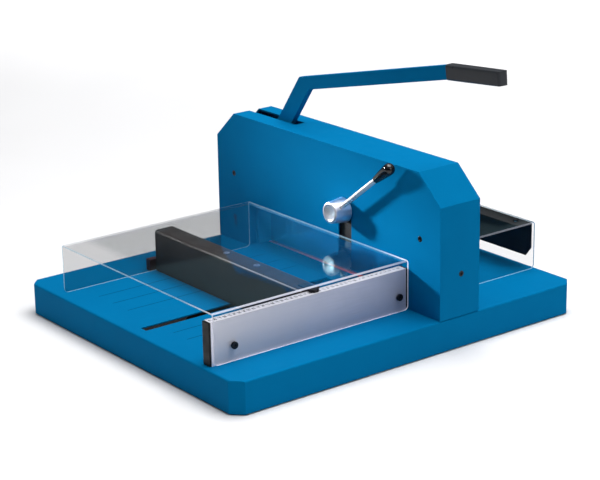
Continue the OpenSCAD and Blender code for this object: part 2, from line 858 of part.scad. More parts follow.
// The grip's side view, in the lever's axes, mitred against the arm
module grip_side(half) {
    far = polar(grip_len, grip_angle);
    up = polar(grip_tip / 2, grip_angle + 90);
    top = bend_corner(arm_angle, grip_angle, half, half);
    polygon([top, far + up, far - up, -top]);
}

module knife_carrier() {
    x = half_win + groove - slide_fit;
    color("#8a9098") difference() {
        block([-x, carrier_y, carrier_z], [x, rack_y, carrier_z + carrier_h]);
        knife_holes(carrier_y - eps, rack_y + eps);
    }
}

// Holes for the knife's bolts
module knife_holes(y1, y2) {
    for (x = knife_bolt_x) bar_along_y(x, knife_bolt_z, screw_r + screw_fit, y1, y2);
}

module knife_rack() {
    m = sector_module;
    pitch = PI * m;
    back = -dedendum * m - rack_w;
    low = [back, sector_low * pitch];
    high = [back, (sector_high + 1) * pitch];
    color("#777d85") along_y(rack_y, sector_back) translate([knife_rack_x, pivot_z]) mirror([1, 0])
        polygon(concat([low], rack_teeth(m, sector_low, sector_high), [high]));
}

module knife() {
    x = half_win - knife_side;
    color("#d3d7db") difference() {
        along_x(-x, x) polygon([
            [knife_y, knife_z],
            [knife_y, knife_z + knife_h],
            [carrier_y, knife_z + knife_h],
            [carrier_y, knife_z + bevel_h]
        ]);
        knife_holes(knife_y + knife_skin, carrier_y + eps);
    }
}

module knife_bolts() {
    color("#2a2d31") for (x = knife_bolt_x) {
        bar_along_y(x, knife_bolt_z, screw_r, knife_y + knife_skin + slide_fit, rack_y);
        bar_along_y(x, knife_bolt_z, 2 * screw_r, rack_y, rack_y + head_h);
    }
}

// Turns its children so that +Z runs along the clamp's rod from the hub's axis
module along_rod() {
    translate([hub_x, housing_y - rod_out, hub_z]) rotate([0, 90 - rod_angle, 0]) children();
}

module clamp_hub() {
    end = hub_len - hub_edge;
    color("#d5d9de") difference() {
        translate([hub_x, housing_y - hub_len, hub_z]) rotate([-90, 0, 0]) {
            rotate_extrude()
                polygon([
                    [0, 0],
                    [hub_r - hub_edge, 0],
                    [hub_r, hub_edge],
                    [hub_back_r, end - hub_edge],
                    [hub_back_r - hub_edge, end],
                    [0, end]
                ]);
            cylinder(r = clamp_shaft_r - run_fit, h = hub_len + clamp_gear_y[1] - housing_y);
        }
        along_rod() translate([0, 0, rod_seat]) cylinder(r = rod_r, h = hub_back_r);
    }
}

module clamp_pinion() {
    n = pinion_teeth;
    front = clamp_gear_y[0] + slide_fit;
    color("#777d85") along_y(front, clamp_gear_y[1]) translate([hub_x, hub_z]) difference() {
        polygon([for (k = [0:n - 1]) each tooth(pinion_r, pinion_module, n, k * 360 / n)]);
        circle(clamp_shaft_r);
    }
}

module clamp_rod() {
    color("#d5d9de") along_rod()
        translate([0, 0, rod_seat]) cylinder(r = rod_r - run_fit, h = rod_len - rod_seat);
}

module clamp_grip() {
    start = ball_at - knob_len;
    color("#141416") along_rod() difference() {
        union() {
            translate([0, 0, start]) cylinder(r1 = knob_r, r2 = ball_r * knob_taper, h = knob_len);
            translate([0, 0, ball_at]) sphere(ball_r);
        }
        translate([0, 0, start - eps]) cylinder(r = rod_r, h = rod_len - start + eps);
    }
}

module clamp_beam() {
    x = half_win + groove - slide_fit;
    foot_x = half_win - knife_side;
    color(dark) {
        block([-x, beam_y, beam_z], [x, beam_y + beam_t, beam_z + beam_h]);
        block([-foot_x, beam_y, beam_z], [foot_x, knife_y - knife_gap, beam_z + beam_foot]);
    }
}

module clamp_rack() {
    m = pinion_module;
    root = -dedendum * m;
    back = root - rack_w;
    foot = beam_z + beam_foot - hub_z;
    high = [back, (clamp_high + 1) * PI * m];
    color("#777d85") along_y(clamp_gear_y[0], clamp_gear_y[1]) translate([clamp_rack_x, hub_z])
        polygon(concat([[back, foot], [root, foot]], rack_teeth(m, clamp_low, clamp_high), [high]));
}

module stop_bar() {
    color("#33383d") difference() {
        along_x(bar_left, bar_right) translate([bar_mid, bar_z]) difference() {
            round_top(bar_d, bar_h, bar_bend);
            translate([0, -eps])
                round_top(bar_d - 2 * bar_sheet, bar_h - bar_sheet + eps, bar_bend - bar_sheet);
        }
        for (x = bar_screws)
            translate([x, bar_mid, bar_z]) cylinder(r = screw_r + screw_fit, h = bar_h + eps);
    }
}

module stop_carriage() {
    wide = 2 * (bar_screw_x + carriage_over);
    foot_top = rail_top - slide_fit;
    color("#6a7077") difference() {
        union() {
            carriage_block(wide, bar_z, bar_top - bar_sheet);
            carriage_block(slot_w - 2 * slide_fit, foot_top - eps, bar_z + eps);
            carriage_block(foot_w, foot_top - foot_h, foot_top);
        }
        for (x = bar_screws) translate([x, bar_mid, bar_top - bar_sheet - bar_screw_d])
            cylinder(r = screw_r + screw_fit, h = bar_screw_d + eps);
    }
}

// A block of the carriage, inside the stop bar's walls
module carriage_block(w, low, high) {
    half = bar_d / 2 - bar_sheet;
    inner = bar_bend - bar_sheet;
    intersection() {
        block([slot_x - w / 2, bar_mid - half, low], [slot_x + w / 2, bar_mid + half, high]);
        along_x(slot_x - w, slot_x + w)
            translate([bar_mid, 0]) round_top(2 * half, bar_top - bar_sheet, inner);
    }
}

module stop_screws() {
    depth = bar_sheet + bar_screw_d;
    color("#4a4f55") for (x = bar_screws) translate([x, bar_mid, bar_top]) difference() {
        union() {
            cylinder(r = 2 * screw_r, h = head_h);
            translate([0, 0, -depth]) cylinder(r = screw_r, h = depth + eps);
        }
        translate([0, 0, head_h * (1 - socket_part)]) cylinder(r = screw_r, h = head_h, $fn = 6);
    }
}

module stop_pointer() {
    half = pointer_w / 2;
    low = gauge_top + scale_t + slide_fit;
    high = max(bar_top, low) + pointer_t;
    start = bar_right - pointer_len;
    back = bar_right + slide_fit;
    tip = gauge_x + pointer_reach;
    end = pointer_tip / 2;
    taper = tip - half + end;
    color("#1a1b1d") translate([0, bar_mid, 0]) {
        translate([0, 0, low]) linear_extrude(high - low)
            polygon([[back, -half], [taper, -half], [tip, -end], [tip, end], [taper, half], [back, half]]);
        block([start, -half, bar_top], [bar_right + slide_fit + eps, half, high]);
    }
}

module cover_hood() {
    color(clear) difference() {
        translate([0, cover_y, cover_z]) hood(cover_w, cover_d, cover_h);
        for (x = [-1, 1]) translate([x * cover_screw_x, cover_screw_y, cover_top - 2 * clear_t])
            cylinder(r = screw_r + screw_fit, h = 3 * clear_t);
    }
}

module stop_plate() {
    x = cover_w / 2 - clear_t - plate_room;
    cut = x - corner_w;
    top = cover_top - clear_t;
    low = top - plate_h;
    side = low + corner_h;
    color("#101113") difference() {
        union() {
            along_y(cover_back - plate_t, cover_back)
                polygon([[-x, side], [-cut, low], [cut, low], [x, side], [x, top], [-x, top]]);
            block([-x, cover_back - lip_w, top - plate_t], [x, cover_back, top]);
        }
        for (end = [-1, 1]) translate([end * cover_screw_x, cover_screw_y, top - 2 * plate_t])
            cylinder(r = screw_r + screw_fit, h = 3 * plate_t);
    }
}

module cover_screws() {
    color("#2a2d31") for (x = [-1, 1]) translate([x * cover_screw_x, cover_screw_y, cover_top]) {
        cylinder(r = 2 * screw_r, h = head_h);
        translate([0, 0, -clear_t - plate_t]) cylinder(r = screw_r, h = clear_t + plate_t + eps);
    }
}

module hinge_brackets() {
    lug = knuckle_w / 2 + slide_fit;
    reach = lug + hinge_lug_w;
    low = hinge_z - knuckle_r;
    high = hinge_z + knuckle_r;
    color(dark) for (side = [-1, 1]) translate([side * hinge_x, 0, 0]) difference() {
        union() {
            for (x = [-reach, lug]) {
                block([x, housing_back, low], [x + hinge_lug_w, hinge_y, high]);
                bar_along_x(hinge_y, hinge_z, knuckle_r, x, x + hinge_lug_w);
            }
            block([-reach, housing_back, low], [reach, housing_back + leaf_t, high]);
        }
        bar_along_x(hinge_y, hinge_z, hinge_pin_r, -reach - eps, reach + eps);
    }
}

module hinge_pins() {
    reach = knuckle_w / 2 + slide_fit + hinge_lug_w;
    color(steel) for (x = [-hinge_x, hinge_x])
        bar_along_x(hinge_y, hinge_z, hinge_pin_r - run_fit, x - reach, x + reach);
}

module cover_knuckles() {
    half = knuckle_w / 2;
    color(dark) for (side = [-1, 1]) translate([side * hinge_x, 0, 0]) difference() {
        union() {
            bar_along_x(hinge_y, hinge_z, knuckle_r, -half, half);
            block([-half, hinge_y, cover_top], [half, hinge_y + strap_len, cover_top + strap_t]);
            block([-half, hinge_y, cover_top], [half, hinge_y + knuckle_r, hinge_z]);
        }
        bar_along_x(hinge_y, hinge_z, hinge_pin_r, -half - eps, half + eps);
    }
}

anti_slip_mat();
floor_plate();
table();
cutting_bed();
cutting_stick();
gauge_rail();
side_gauge();
gauge_end_caps();
scale_strip();
front_guard();
guard_screws();
guard_block();
housing();
left_side_frame();
right_side_frame();
housing_screws();
pivot_brackets();
pivot_shaft();
pivot_spacers();
clamp_bearing();
hinge_brackets();
hinge_pins();
cutting_lever();
lever_grip();
knife_carrier();
knife_rack();
knife();
knife_bolts();
clamp_hub();
clamp_pinion();
clamp_rod();
clamp_grip();
clamp_beam();
clamp_rack();
stop_bar();
stop_carriage();
stop_screws();
stop_pointer();
cover_hood();
stop_plate();
cover_knuckles();
cover_screws();
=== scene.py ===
"""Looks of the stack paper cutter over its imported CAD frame: paint, clear sheet, metal and plastic in studio light.

Metres throughout, in the CAD frame: +X runs along the cut, the photograph's side is -Y, +Z is up.
"""

import functools
import json
import math

import bmesh
import bpy
from mathutils import Matrix, Quaternion, Vector


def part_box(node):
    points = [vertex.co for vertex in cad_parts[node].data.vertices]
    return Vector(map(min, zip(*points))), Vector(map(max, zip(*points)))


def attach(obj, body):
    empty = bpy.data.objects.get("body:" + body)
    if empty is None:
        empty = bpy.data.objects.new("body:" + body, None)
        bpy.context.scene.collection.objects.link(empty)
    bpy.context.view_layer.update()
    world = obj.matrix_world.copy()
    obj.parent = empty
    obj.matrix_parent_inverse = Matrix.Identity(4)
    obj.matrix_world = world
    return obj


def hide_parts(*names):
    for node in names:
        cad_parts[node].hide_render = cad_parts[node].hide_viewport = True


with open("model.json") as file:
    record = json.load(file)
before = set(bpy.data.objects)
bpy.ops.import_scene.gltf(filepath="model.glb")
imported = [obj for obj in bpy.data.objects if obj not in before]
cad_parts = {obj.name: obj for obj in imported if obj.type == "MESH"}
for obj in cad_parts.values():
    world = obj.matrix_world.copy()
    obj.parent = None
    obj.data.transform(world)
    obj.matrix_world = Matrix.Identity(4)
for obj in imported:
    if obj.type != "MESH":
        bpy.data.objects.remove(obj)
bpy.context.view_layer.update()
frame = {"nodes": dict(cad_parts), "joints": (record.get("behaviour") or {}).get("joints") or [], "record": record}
NODES = frame["nodes"]
BODY_OF = {node: body for body, nodes in frame["record"]["behaviour"]["bodies"].items() for node in nodes}
SLOT_OF = {part["node"]: part["material_slot"] for part in frame["record"]["subparts"]}
MM = 0.001
TABLE_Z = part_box("table")[1].z

BLUE = (0.0008, 0.140, 0.325)
BLUE_DEEP = (0.0005, 0.104, 0.255)
BLUE_PALE = (0.0012, 0.172, 0.372)

# Guide lines printed on the table: where they lie in X, from and to which Y they run, and how wide they are
LINES_X = (-172 * MM, -124 * MM, -75 * MM, 72 * MM, 114 * MM, 160 * MM)
LINES_FRONT, LINES_BACK = -335 * MM, 50 * MM
LINE_WIDTH = 1.6 * MM
LINE_COLOR = (0.0006, 0.030, 0.085)

# Ticks of the scale, in millimetres: pitch, length and width
TICKS = ((1, 2.5, 0.35), (5, 4, 0.6), (10, 5, 0.8))
TICK_COLOR = (0.02, 0.02, 0.025)

# Numbers of the scale: pitch, height, added weight, relief, and how far they stand off the strip's inner edge,
# its rear end and its surface
NUMBER_PITCH = 10 * MM
NUMBER_SIZE = 8.0 * MM
NUMBER_WEIGHT = 0.25 * MM
NUMBER_RELIEF = 0.03 * MM
NUMBER_INSET = 9.0 * MM
NUMBER_START = 10 * MM
NUMBER_LIFT = 0.02 * MM
# From a number's tick to its foot, and the room that the last number needs
NUMBER_DROP = 2.8 * MM
NUMBER_ROOM = 4 * MM

# Where the clear sheets change their look: from left to right, towards the gauge, over to the far cover, and behind
# the guard's front edge. Their painted shade runs from left to right, and their edges' painted glow turns whiter
# towards the gauge and bluer over the far cover
ACROSS_X = (-0.2, 0.2)
GAUGE_X = (0.15, 0.24)
FAR_Y = (0.10, 0.14)
STRIP_Y = (-0.335, -0.305)

# Width of the softened edges of each CAD node, in millimetres, where it isn't the usual one
EDGE_WIDTH = {
    "table": 1.2, "housing": 1.6, "cutting_lever": 1.4, "stop_bar": 0.8, "gauge_end_caps": 1.2, "side_gauge": 0.5,
    "lever_grip": 2.2, "scale_strip": 0.15, "cutting_stick": 0.3, "knife": 0.15, "anti_slip_mat": 0.5,
    "clamp_pinion": 0.25, "clamp_rack": 0.25, "knife_rack": 0.25, "hinge_pins": 0.4, "guard_screws": 0.5,
    "housing_screws": 0.4, "stop_screws": 0.3, "cover_screws": 0.3, "knife_bolts": 0.3, "stop_plate": 0.4,
}
USUAL_EDGE = 0.6
SHEET_EDGE = 0.35
# Edges that turn by more than this are sharp, and faces that turn by less are one flat face
SHARP = math.radians(30)
FLAT = math.radians(0.4)

# Nodes with a surface of their own in their slot
OWN_LOOK = {"table": "table_paint", "stop_screws": "bar_screw", "clamp_rod": "rod_satin",
            "stop_plate": "plate_paint"}

# Turned pieces as (radius, height) in millimetres: the hub's recessed face with its rim, and the ball end
HUB_FACE = [(0, 0.9), (13.0, 0.9), (13.7, 0.7), (14.4, 0.1), (14.8, 0), (16.8, 0), (18.2, 0.2), (19.3, 0.8),
            (19.9, 1.7), (20.1, 2.6)]
HUB_LENGTH = 35.5
SHAFT_RADIUS = 9.9
BALL_END = [(5.0, 150), (5.0, 143), (6.4, 143), (6.9, 143.4), (7.1, 144.2), (7.7, 150), (8.6, 158), (9.4, 166),
            (10.2, 176), (10.75, 182.5), (11.0, 187), (10.8, 189.6), (10.1, 191.9), (8.9, 193.9), (7.2, 195.6),
            (5.2, 196.9), (2.8, 197.7), (0, 198)]
BALL_RADIUS = 11 * MM
HUB_STEPS, BALL_STEPS = 96, 64

FLOOR_HALF = 14.0
FLOOR_DROP = 0.2 * MM

# The sky's strength by the height of a direction, and how far it is dimmed by that direction's Y
SKY_GLOW = ((0.3135, 0.02), (0.3155, 0.10), (0.36, 0.12), (0.95, 0.9))
SKY_DIMMING = {"From Min": -0.9, "From Max": 0.2, "To Min": 0.30, "To Max": 1.0}

# Lamps: name, kind, place, point aimed at, size, power in watts and width of the beam in degrees
LAMPS = (
    ("key", "SPOT", (-2.0, -1.0, 0.85), (0.16, 0.05, 0.20), 0.14, 760, 9),
    ("top", "AREA", (0.3, 0.6, 3.6), (0.0, 0.2, 0), 3.0, 185, 180),
    ("side", "AREA", (3.2, 0.3, 1.9), (0.2, 0.1, 0.2), 1.6, 16, 180),
    ("back", "AREA", (-3.4, 3.0, 2.6), (-3.9, 3.4, 0), 3.0, 135, 120),
)

# Camera fitted to the photograph: degrees round from the front, up and rolled, the point in its middle, metres to
# that point, and focal length and picture width in pixels
CAMERA_ROUND, CAMERA_UP, CAMERA_ROLL = (math.radians(angle) for angle in (52.45, 18.08, 0.95))
CAMERA_TARGET = Vector((0.0035, -0.0005, 0.1429))
CAMERA_DISTANCE = 3.4976
FOCAL_PIXELS, PICTURE_PIXELS = 1878.8, 600
SENSOR_WIDTH = 36


class Surface:
    """A Principled material, with short ways to add procedural detail in object coordinates."""

    def __init__(self, name, color, roughness, sockets=()):
        self.material = bpy.data.materials.new(name)
        self.material.use_nodes = True
        self.tree = self.material.node_tree
        self.shader = self.tree.nodes["Principled BSDF"]
        self.shader.inputs["Base Color"].default_value = (*color, 1.0)
        self.shader.inputs["Roughness"].default_value = roughness
        for socket, value in sockets:
            self.shader.inputs[socket].default_value = value
        self.material.diffuse_color = (*color, 1.0)
        self.place = self.add("ShaderNodeTexCoord").outputs["Object"]
        self.color = (*color, 1.0)

    def add(self, kind, **settings):
        """A new node with the given settings."""
        node = self.tree.nodes.new(kind)
        for key, value in settings.items():
            setattr(node, key, value)
        return node

    def wire(self, value, socket):
        """Links value to a socket if it is an output, and otherwise sets the socket to it."""
        if isinstance(value, bpy.types.NodeSocket):
            self.tree.links.new(value, socket)
        else:
            socket.default_value = value

    def math(self, operation, *values):
        """The result of a Math node."""
        node = self.add("ShaderNodeMath", operation=operation)
        for value, socket in zip(values, node.inputs):
            self.wire(value, socket)
        return node.outputs[0]

    def both(self, *masks):
        """The product of masks: 1 where all of them are."""
        return functools.reduce(functools.partial(self.math, "MULTIPLY"), masks)

    def either(self, masks):
        """The largest of masks: 1 where any of them is."""
        return functools.reduce(functools.partial(self.math, "MAXIMUM"), masks)

    def axes(self):
        """The X, Y and Z of the place on the surface."""
        split = self.add("ShaderNodeSeparateXYZ")
        self.wire(self.place, split.inputs[0])
        return split.outputs

    def noise(self, size, detail=3.0, stretch=(1, 1, 1)):
        """Noise with features about size wide, drawn out along each axis by stretch."""
        mapping = self.add("ShaderNodeMapping")
        mapping.inputs["Scale"].default_value = [1 / (size * k) for k in stretch]
        self.wire(self.place, mapping.inputs["Vector"])
        texture = self.add("ShaderNodeTexNoise")
        texture.inputs["Scale"].default_value = 1.0
        texture.inputs["Detail"].default_value = detail
        self.wire(mapping.outputs[0], texture.inputs["Vector"])
        return texture.outputs["Fac"]

    def between(self, value, low, high, start=0.3, end=0.7):
        """Maps value from start..end to low..high. The usual start and end are where noise lies."""
        node = self.add("ShaderNodeMapRange")
        for number, socket in zip((value, start, end, low, high), node.inputs):
            self.wire(number, socket)
        return node.outputs[0]

    def tint(self, mask, color):
        """Lays a colour over what is there, as far as mask goes."""
        mix = self.add("ShaderNodeMix", data_type="RGBA")
        self.wire(mask, mix.inputs[0])
        self.wire(self.color, mix.inputs[6])
        mix.inputs[7].default_value = (*color, 1.0)
        self.color = mix.outputs[2]
        self.wire(self.color, self.shader.inputs["Base Color"])
        return self

    def mottle(self, size, color, amount, stretch=(1, 1, 1)):
        """Lets the colour wander towards another one in patches of about size."""
        return self.tint(self.between(self.noise(size, 4.0, stretch), 0.0, amount), color)

    def dull(self, size, low, high, stretch=(1, 1, 1)):
        """Lets the roughness wander from low to high."""
        self.wire(self.between(self.noise(size, 4.0, stretch), low, high), self.shader.inputs["Roughness"])
        return self

    def relief(self, size, height, stretch=(1, 1, 1)):
        """Raises and lowers the surface by about height."""
        bump = self.add("ShaderNodeBump")
        bump.inputs["Distance"].default_value = height
        self.wire(self.noise(size, 2.0, stretch), bump.inputs["Height"])
        self.wire(bump.outputs[0], self.shader.inputs["Normal"])
        return self

    def stripe(self, value, middle, width):
        """1 where value is within half a width of middle, with a soft edge."""
        away = self.math("ABSOLUTE", self.math("SUBTRACT", value, middle))
        return self.between(away, 1.0, 0.0, 0.35 * width, 0.65 * width)


def powder_coat(name):
    """Blue powder coat: fine orange peel, slow changes of shade and a satin gloss that isn't quite even."""
    paint = Surface(name, BLUE, 0.36, [("Specular IOR Level", 0.0), ("Metallic", 0.12)])
    paint.mottle(0.16, BLUE_DEEP, 0.22).mottle(0.045, BLUE_PALE, 0.12).mottle(0.0012, BLUE_PALE, 0.10)
    return paint.dull(0.030, 0.33, 0.44).relief(0.0011, 0.00005)


def table_paint():
    """The table's coat with thin printed lines that guide the paper, on its upper face only."""
    paint = powder_coat("table_paint")
    x, y, z = paint.axes()
    lines = paint.either([paint.stripe(x, middle, LINE_WIDTH) for middle in LINES_X])
    top = paint.math("GREATER_THAN", z, TABLE_Z - 0.2 * MM)
    behind, before = paint.math("GREATER_THAN", y, LINES_FRONT), paint.math("LESS_THAN", y, LINES_BACK)
    return paint.tint(paint.both(lines, top, behind, before, 0.9), LINE_COLOR)


def scale_print():
    """Pale strip with millimetre ticks, longer at every fifth and tenth one."""
    strip = Surface("scale_print", (0.58, 0.58, 0.64), 0.40, [("Specular IOR Level", 0.2)])
    strip.mottle(0.02, (0.44, 0.44, 0.50), 0.25).dull(0.004, 0.35, 0.48).relief(0.002, 0.00002)
    x, y, _ = strip.axes()
    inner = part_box("scale_strip")[0].x
    # A whole metre on, so that the remainder is taken of a positive number
    onward = strip.math("ADD", y, 1.0)
    ticks = []
    for pitch, length, width in TICKS:
        along = strip.math("SUBTRACT", strip.math("MODULO", onward, pitch * MM), 0.5 * pitch * MM)
        reached = strip.math("LESS_THAN", x, inner + length * MM)
        ticks.append(strip.both(strip.stripe(along, 0.0, width * MM), reached))
    return strip.tint(strip.both(strip.either(ticks), 0.6), TICK_COLOR)


def metal(name, color, roughness, grain=(1, 1, 1), size=0.0006, height=0.000015, bare=1.0):
    """Worked metal with its grain drawn out along one axis, and less bare under an anodised skin."""
    surface = Surface(name, color, roughness, [("Metallic", bare)])
    shade = tuple(0.72 * c for c in color)
    surface.mottle(size, shade, 0.35, grain).mottle(0.05, shade, 0.25)
    return surface.dull(size * 2, roughness * 0.75, roughness * 1.3, grain).relief(size, height, grain)


def gauge_skin():
    """The gauge's anodised skin, with a painted reflection that makes it paler towards its front end."""
    skin = metal("gauge_aluminium", (0.60, 0.65, 0.84), 0.50, (1, 60, 1), 0.0008, 0.000006, 0.35)
    # Painted reflection: the colour turns paler towards the front end
    return skin.tint(skin.between(skin.axes()[1], 0.7, 0.0, -0.40, -0.05), (0.98, 0.96, 0.98))


def chrome(name, color, roughness, bare):
    """Plated metal: smooth, with slow changes of shade and sheen."""
    surface = Surface(name, color, roughness, [("Metallic", bare)])
    surface.mottle(0.025, tuple(0.88 * c for c in color), 0.5)
    return surface.dull(0.020, roughness * 0.9, roughness * 1.15)


def plastic(name, color, roughness, grain=0.0009, height=0.00004, gloss=0.5):
    """Moulded plastic with a fine grain and a little handling wear in its gloss."""
    surface = Surface(name, color, roughness, [("Specular IOR Level", gloss)])
    surface.mottle(0.03, tuple(min(1.0, 1.5 * c + 0.008) for c in color), 0.30)
    return surface.dull(0.012, roughness * 0.8, roughness * 1.25).relief(grain, height)


def coated(name, color, roughness):
    """Dark powder coat on sheet steel."""
    surface = Surface(name, color, roughness, [("Specular IOR Level", 0.10)])
    pale = tuple(min(1.0, 1.6 * c + 0.004) for c in color)
    surface.mottle(0.09, pale, 0.25).mottle(0.0012, pale, 0.25)
    return surface.dull(0.03, roughness * 0.85, roughness * 1.2).relief(0.0010, 0.00006)


def bar_paint():
    """The stop bar's dark coat, with a painted highlight along its upper front edge, brighter towards the right."""
    paint = coated("dark_paint", (0.028, 0.024, 0.024), 0.42)
    low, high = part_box("stop_bar")
    x, y, z = paint.axes()
    inward, downward = paint.math("SUBTRACT", y, low.y), paint.math("SUBTRACT", z, high.z)
    # Painted highlight: a pale tint along the upper front edge, faded out to the left
    edge_highlight = paint.between(paint.math("SUBTRACT", inward, downward), 1.0, 0.0, 3.6 * MM, 3.85 * MM)
    return paint.tint(paint.both(edge_highlight, paint.between(x, 0.0, 0.9, -0.10, 0.06)), (0.30, 0.29, 0.29))


def clear_sheet():
    """The walls of a clear acrylic sheet: a faint tint with painted shade that is denser to the left, and handling
    marks in its gloss.
    """
    sheet = Surface("clear_sheet", (0.006, 0.006, 0.012), 0.04, [("Specular IOR Level", 0.0)])
    x, y, _ = sheet.axes()
    # Painted shade: the sheet's alpha grows towards the left
    guard, cover = sheet.between(x, 0.22, 0.09, *ACROSS_X), sheet.between(y, 0.0, 0.11, *FAR_Y)
    sheet.wire(sheet.either([guard, cover]), sheet.shader.inputs["Alpha"])
    return sheet.mottle(0.10, (0.012, 0.012, 0.022), 0.5).dull(0.02, 0.025, 0.06)


def clear_top():
    """The sheet's flat top, which mirrors more and lets less through the flatter it is seen, but not in front."""
    sheet = Surface("clear_top", (0.50, 0.84, 0.92), 0.03, [("Metallic", 1.0)])
    angle = sheet.add("ShaderNodeLayerWeight")
    angle.inputs["Blend"].default_value = 0.5
    flatness = sheet.math("POWER", angle.outputs["Facing"], 4.0)
    behind_strip = sheet.between(sheet.axes()[1], 0.25, 1.0, *STRIP_Y)
    mirror = sheet.between(flatness, 0.035, 0.60, 0.0, 1.0)
    sheet.wire(sheet.both(mirror, behind_strip), sheet.shader.inputs["Alpha"])
    return sheet.mottle(0.10, (0.38, 0.78, 0.86), 0.5).dull(0.02, 0.02, 0.045)


def clear_bend(name, color, alpha):
    """The sheet's bends, with a painted highlight along their length."""
    bend = Surface(name, color, 0.20, [("Alpha", alpha)])
    return bend.mottle(0.05, tuple(1.2 * c for c in color), 0.5).dull(0.006, 0.15, 0.28)


def clear_edge():
    """The sheet's polished edges, with a painted glow and highlight: whiter by the gauge, bluer on the far cover."""
    # The emission is a painted glow; the edges' pale tints are painted highlights
    edge = Surface("clear_edge", (0.34, 0.54, 0.68), 0.25, [("Emission Strength", 0.18)])
    x, y, _ = edge.axes()
    edge.mottle(0.012, (0.46, 0.66, 0.80), 0.6)
    edge.tint(edge.between(x, 0.0, 1.0, *GAUGE_X), (0.78, 0.78, 0.88))
    edge.tint(edge.between(y, 0.0, 1.0, *FAR_Y), (0.20, 0.42, 0.60))
    edge.wire(edge.between(x, 0.55, 0.9, *GAUGE_X), edge.shader.inputs["Alpha"])
    edge.wire(edge.color, edge.shader.inputs["Emission Color"])
    return edge.dull(0.004, 0.18, 0.35)


SURFACES = {
    "rubber_mat": plastic("rubber_mat", (0.020, 0.020, 0.022), 0.75, 0.0015, 0.00015),
    "inner_steel": metal("inner_steel", (0.36, 0.38, 0.41), 0.38, (30, 1, 1)),
    "blue_paint": powder_coat("blue_paint"),
    "table_paint": table_paint(),
    "dark_paint": bar_paint(),
    "black_paint": coated("black_paint", (0.0040, 0.0042, 0.0048), 0.40),
    "plate_paint": coated("plate_paint", (0.020, 0.021, 0.023), 0.40),
    # The knife's steel is tinted blue: a painted reflection of the blue table before it
    "knife_steel": metal("knife_steel", (0.36, 0.54, 0.68), 0.16, (40, 1, 1), height=0.000004),
    "red_plastic": plastic("red_plastic", (0.86, 0.025, 0.045), 0.35),
    "gauge_aluminium": gauge_skin(),
    "white_plastic": scale_print(),
    "black_plastic": plastic("black_plastic", (0.006, 0.006, 0.007), 0.45, gloss=0.2),
    "grip_black": plastic("grip_black", (0.003, 0.003, 0.004), 0.06, 0.004, 0.000004),
    "grip_rubber": plastic("grip_rubber", (0.020, 0.023, 0.028), 0.34, 0.0007, 0.00006, 0.35),
    "clear_acrylic": clear_sheet(),
    "hub_chrome": chrome("hub_chrome", (0.85, 0.85, 0.94), 0.30, 1.0),
    "rod_satin": chrome("rod_satin", (0.80, 0.80, 0.84), 0.28, 0.75),
    "bronze": metal("bronze", (0.52, 0.38, 0.15), 0.35),
    "dark_red": plastic("dark_red", (0.055, 0.008, 0.010), 0.50),
    # The bar screws' pale bluish grey is a painted highlight on black screw heads
    "bar_screw": metal("bar_screw", (0.14, 0.17, 0.24), 0.40, size=0.0008, bare=0.3),
    "black_screw": metal("black_screw", (0.030, 0.034, 0.040), 0.36, size=0.0008),
}
TOP, EDGE = clear_top(), clear_edge()
# The bends' pale colours are painted highlights, brighter on the front guard than on the far cover
BENDS = {"front_guard": clear_bend("guard_bend", (0.62, 0.64, 0.75), 0.55),
         "cover_hood": clear_bend("cover_bend", (0.40, 0.42, 0.50), 0.22)}
# Order of the materials on a clear cover, after its walls
IN_TOP, IN_BEND, IN_EDGE = 1, 2, 3


def adopt(piece, node):
    """Puts a piece in a CAD node's stead: on its body, with the node hidden."""
    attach(piece, BODY_OF[node])
    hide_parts(node)


def new_piece(name, shape, *surfaces):
    """An object made from a bmesh, with smooth faces between sharp edges."""
    for face in shape.faces:
        face.smooth = True
    for edge in shape.edges:
        edge.smooth = edge.calc_face_angle(0.0) < SHARP
    mesh = bpy.data.meshes.new(name)
    shape.to_mesh(mesh)
    shape.free()
    for layer in [a for a in mesh.attributes if a.name == "custom_normal"]:
        mesh.attributes.remove(layer)
    for surface in surfaces:
        mesh.materials.append(surface.material)
    piece = bpy.data.objects.new(name, mesh)
    bpy.context.scene.collection.objects.link(piece)
    return piece


def soften(piece, width):
    """Rounds a piece's sharp edges by width."""
    bevel = piece.modifiers.new("edges", "BEVEL")
    bevel.width = width
    bevel.segments = 2
    bevel.limit_method = "ANGLE"
    bevel.angle_limit = SHARP
    bevel.harden_normals = True


def whole_faces(node):
    """A bmesh of a CAD node with its corners joined and its flat faces made whole."""
    shape = bmesh.new()
    shape.from_mesh(NODES[node].data)
    for face in shape.faces:
        face.material_index = 0
    bmesh.ops.remove_doubles(shape, verts=shape.verts, dist=0.01 * MM)
    bmesh.ops.dissolve_limit(shape, angle_limit=FLAT, verts=shape.verts, edges=shape.edges)
    return shape


def finish_node(node, surface):
    """A copy of a CAD node with softened edges and its own material, in the node's stead."""
    piece = new_piece(node + "_finish", whole_faces(node), surface)
    soften(piece, EDGE_WIDTH.get(node, USUAL_EDGE) * MM)
    adopt(piece, node)


def clear_hood(node):
    """A clear cover whose flat top, bends and cut edges each have their own material."""
    shape = whole_faces(node)
    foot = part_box(node)[0].z
    gauge_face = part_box("side_gauge")[1].x
    for corner in shape.verts:
        # The guard's inner wall lies on the gauge's face, and the two would show through each other
        if abs(corner.co.x - gauge_face) < 0.05 * MM:
            corner.co.x += 0.2 * MM
    for face in shape.faces:
        under = face.normal.z < -0.7 and face.calc_center_median().z < foot + 1 * MM
        if under or abs(face.normal.y) > 0.3:
            face.material_index = IN_EDGE
        elif abs(face.normal.z) > 0.98:
            face.material_index = IN_TOP
        elif abs(face.normal.z) > 0.6:
            face.material_index = IN_BEND
    piece = new_piece(node + "_sheet", shape, SURFACES["clear_acrylic"], TOP, BENDS[node], EDGE)
    piece.visible_shadow = False
    soften(piece, SHEET_EDGE * MM)
    adopt(piece, node)


